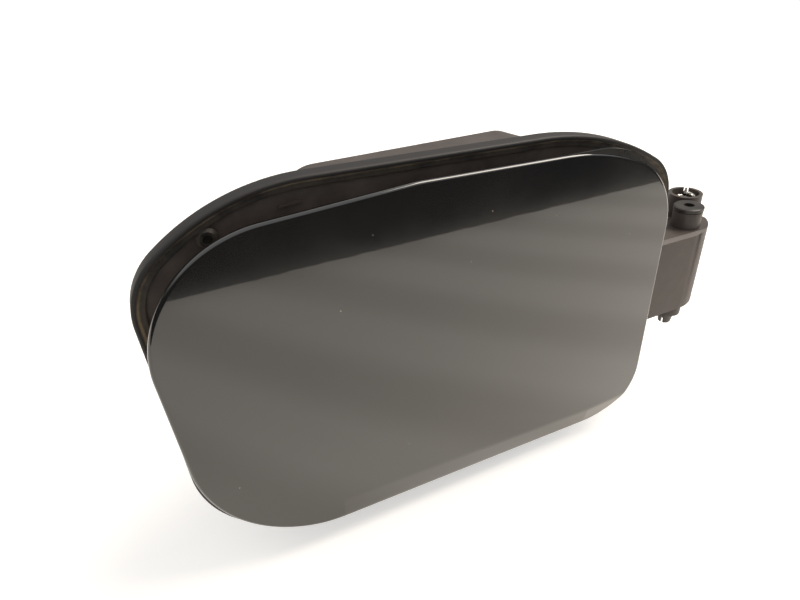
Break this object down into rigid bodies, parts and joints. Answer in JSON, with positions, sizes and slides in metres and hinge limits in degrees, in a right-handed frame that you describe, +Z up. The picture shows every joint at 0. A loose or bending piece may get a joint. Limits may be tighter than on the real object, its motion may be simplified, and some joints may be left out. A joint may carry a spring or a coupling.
{
  "type": "car fuel door",
  "caption": "Fuel filler door of gloss-painted steel on a gooseneck arm, hinged to a moulded plastic filler pocket with a rubber neck collar.",
  "frame": {"origin": "on the axis of the filler neck's collar, at the outer face of the pocket's back wall", "axes": "+X towards the hinge, +Y into the car along the filler neck's axis, +Z up; the door stands closed"},
  "size_m": [0.2481, 0.066, 0.147],
  "materials": {
    "door_paint": "high gloss black paint over clear coat",
    "mastic": "soft matt anti-flutter mastic",
    "black_nylon": "satin moulded black nylon",
    "pocket_plastic": "weathered dark brown-black polypropylene",
    "seal_rubber": "matt black rubber with a little dust",
    "natural_nylon": "natural nylon",
    "spring_steel": "bright spring steel wire and strip",
    "zinc_steel": "zinc-plated steel",
    "black_steel": "black phosphated steel",
    "aluminium": "plain aluminium"
  },
  "bodies": {
    "pocket": {"filler_pocket": "pocket_plastic", "rim_seal": "seal_rubber", "neck_seal": "seal_rubber", "neck_retainer": "black_nylon", "hinge_pin": "black_nylon", "snap_spring": "spring_steel", "upper_buffer": "seal_rubber", "lower_buffer": "seal_rubber", "lock_bush": "natural_nylon", "body_screws": "black_steel", "body_clips": "spring_steel", "drain_valve": "seal_rubber"},
    "door": {"door_skin": "door_paint", "door_inner_panel": "door_paint", "flutter_pads": "mastic", "hinge_arm": "black_nylon", "arm_screws": "zinc_steel", "lock_catch": "black_nylon", "catch_rivets": "aluminium", "cap_holder": "black_nylon"}
  },
  "joints": [
    {"name": "door_hinge", "type": "hinge", "parent": "pocket", "child": "door", "pos_m": [0.1227, -0.041, -0.0038], "axis": [0, 0, 1], "range_deg": [0, 88], "deforming": ["snap_spring"]}
  ]
}
